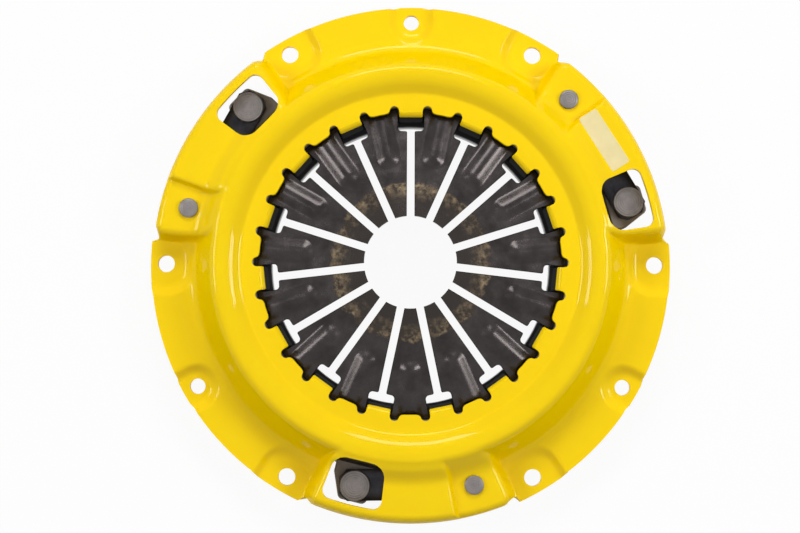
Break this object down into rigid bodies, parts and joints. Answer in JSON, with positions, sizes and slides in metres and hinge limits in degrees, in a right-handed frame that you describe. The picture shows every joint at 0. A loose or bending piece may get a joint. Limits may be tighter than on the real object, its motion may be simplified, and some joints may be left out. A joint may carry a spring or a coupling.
{
  "type": "clutch pressure plate",
  "caption": "Diaphragm clutch pressure plate: pressed round cover with bolt ears, slotted spring fingers, drive straps and a cast friction plate that lifts.",
  "frame": {"origin": "centre of the bolt circle, on the mounting plane that meets the flywheel", "axes": "+Z along the clutch axis, away from the flywheel towards the release bearing; +Y towards the dowel ear that is uppermost in the picture"},
  "size_m": [0.2764, 0.2742, 0.0393],
  "materials": {
    "yellow_cover": "gloss yellow paint over pressed steel",
    "spring_steel": "dark heat treated spring steel, straw tint near the tips",
    "wire": "drawn wire",
    "cast_plate": "machined grey iron",
    "strap_steel": "blued strip steel",
    "rivet_steel": "dull turned steel"
  },
  "bodies": {
    "cover_body": {"cover": "yellow_cover", "upper_fulcrum_wire": "wire", "lower_fulcrum_wire": "wire", "diaphragm_ring": "spring_steel", "drive_straps_lower": "strap_steel", "drive_straps_upper": "strap_steel", "cover_rivets": "rivet_steel"},
    "plate_body": {"pressure_plate": "cast_plate", "lug_rivets": "rivet_steel"},
    "finger_01": {"diaphragm_finger_01": "spring_steel"},
    "finger_02": {"diaphragm_finger_02": "spring_steel"},
    "finger_03": {"diaphragm_finger_03": "spring_steel"},
    "finger_04": {"diaphragm_finger_04": "spring_steel"},
    "finger_05": {"diaphragm_finger_05": "spring_steel"},
    "finger_06": {"diaphragm_finger_06": "spring_steel"},
    "finger_07": {"diaphragm_finger_07": "spring_steel"},
    "finger_08": {"diaphragm_finger_08": "spring_steel"},
    "finger_09": {"diaphragm_finger_09": "spring_steel"},
    "finger_10": {"diaphragm_finger_10": "spring_steel"},
    "finger_11": {"diaphragm_finger_11": "spring_steel"},
    "finger_12": {"diaphragm_finger_12": "spring_steel"},
    "finger_13": {"diaphragm_finger_13": "spring_steel"},
    "finger_14": {"diaphragm_finger_14": "spring_steel"},
    "finger_15": {"diaphragm_finger_15": "spring_steel"}
  },
  "joints": [
    {"name": "plate_travel", "type": "slide", "parent": "cover_body", "child": "plate_body", "axis": [0, 0, 1], "range_m": [0, 0.0055], "stiffness_N_per_m": 150000, "springref_m": -0.004, "deforming": ["diaphragm_ring", "drive_straps_lower", "drive_straps_upper"]},
    {"name": "finger_01_tilt", "type": "hinge", "parent": "cover_body", "child": "finger_01", "pos_m": [0, -0.0828, 0.014], "axis": [-1, 0, 0], "range_deg": [0, 15]},
    {"name": "finger_02_tilt", "type": "hinge", "parent": "cover_body", "child": "finger_02", "pos_m": [0.03368, -0.07564, 0.014], "axis": [-0.9135, -0.4067, 0], "range_deg": [0, 15]},
    {"name": "finger_03_tilt", "type": "hinge", "parent": "cover_body", "child": "finger_03", "pos_m": [0.06153, -0.0554, 0.014], "axis": [-0.6691, -0.7431, 0], "range_deg": [0, 15]},
    {"name": "finger_04_tilt", "type": "hinge", "parent": "cover_body", "child": "finger_04", "pos_m": [0.07875, -0.02559, 0.014], "axis": [-0.309, -0.9511, 0], "range_deg": [0, 15]},
    {"name": "finger_05_tilt", "type": "hinge", "parent": "cover_body", "child": "finger_05", "pos_m": [0.08235, 0.00865, 0.014], "axis": [0.1045, -0.9945, 0], "range_deg": [0, 15]},
    {"name": "finger_06_tilt", "type": "hinge", "parent": "cover_body", "child": "finger_06", "pos_m": [0.07171, 0.0414, 0.014], "axis": [0.5, -0.866, 0], "range_deg": [0, 15]},
    {"name": "finger_07_tilt", "type": "hinge", "parent": "cover_body", "child": "finger_07", "pos_m": [0.04867, 0.06699, 0.014], "axis": [0.809, -0.5878, 0], "range_deg": [0, 15]},
    {"name": "finger_08_tilt", "type": "hinge", "parent": "cover_body", "child": "finger_08", "pos_m": [0.01722, 0.08099, 0.014], "axis": [0.9781, -0.2079, 0], "range_deg": [0, 15]},
    {"name": "finger_09_tilt", "type": "hinge", "parent": "cover_body", "child": "finger_09", "pos_m": [-0.01722, 0.08099, 0.014], "axis": [0.9781, 0.2079, 0], "range_deg": [0, 15]},
    {"name": "finger_10_tilt", "type": "hinge", "parent": "cover_body", "child": "finger_10", "pos_m": [-0.04867, 0.06699, 0.014], "axis": [0.809, 0.5878, 0], "range_deg": [0, 15]},
    {"name": "finger_11_tilt", "type": "hinge", "parent": "cover_body", "child": "finger_11", "pos_m": [-0.07171, 0.0414, 0.014], "axis": [0.5, 0.866, 0], "range_deg": [0, 15]},
    {"name": "finger_12_tilt", "type": "hinge", "parent": "cover_body", "child": "finger_12", "pos_m": [-0.08235, 0.00865, 0.014], "axis": [0.1045, 0.9945, 0], "range_deg": [0, 15]},
    {"name": "finger_13_tilt", "type": "hinge", "parent": "cover_body", "child": "finger_13", "pos_m": [-0.07875, -0.02559, 0.014], "axis": [-0.309, 0.9511, 0], "range_deg": [0, 15]},
    {"name": "finger_14_tilt", "type": "hinge", "parent": "cover_body", "child": "finger_14", "pos_m": [-0.06153, -0.0554, 0.014], "axis": [-0.6691, 0.7431, 0], "range_deg": [0, 15]},
    {"name": "finger_15_tilt", "type": "hinge", "parent": "cover_body", "child": "finger_15", "pos_m": [-0.03368, -0.07564, 0.014], "axis": [-0.9135, 0.4067, 0], "range_deg": [0, 15]}
  ],
  "couplings": [
    {"joint": "finger_01_tilt", "follows": "plate_travel", "rad_per_m": 47.1},
    {"joint": "finger_02_tilt", "follows": "plate_travel", "rad_per_m": 47.1},
    {"joint": "finger_03_tilt", "follows": "plate_travel", "rad_per_m": 47.1},
    {"joint": "finger_04_tilt", "follows": "plate_travel", "rad_per_m": 47.1},
    {"joint": "finger_05_tilt", "follows": "plate_travel", "rad_per_m": 47.1},
    {"joint": "finger_06_tilt", "follows": "plate_travel", "rad_per_m": 47.1},
    {"joint": "finger_07_tilt", "follows": "plate_travel", "rad_per_m": 47.1},
    {"joint": "finger_08_tilt", "follows": "plate_travel", "rad_per_m": 47.1},
    {"joint": "finger_09_tilt", "follows": "plate_travel", "rad_per_m": 47.1},
    {"joint": "finger_10_tilt", "follows": "plate_travel", "rad_per_m": 47.1},
    {"joint": "finger_11_tilt", "follows": "plate_travel", "rad_per_m": 47.1},
    {"joint": "finger_12_tilt", "follows": "plate_travel", "rad_per_m": 47.1},
    {"joint": "finger_13_tilt", "follows": "plate_travel", "rad_per_m": 47.1},
    {"joint": "finger_14_tilt", "follows": "plate_travel", "rad_per_m": 47.1},
    {"joint": "finger_15_tilt", "follows": "plate_travel", "rad_per_m": 47.1}
  ]
}
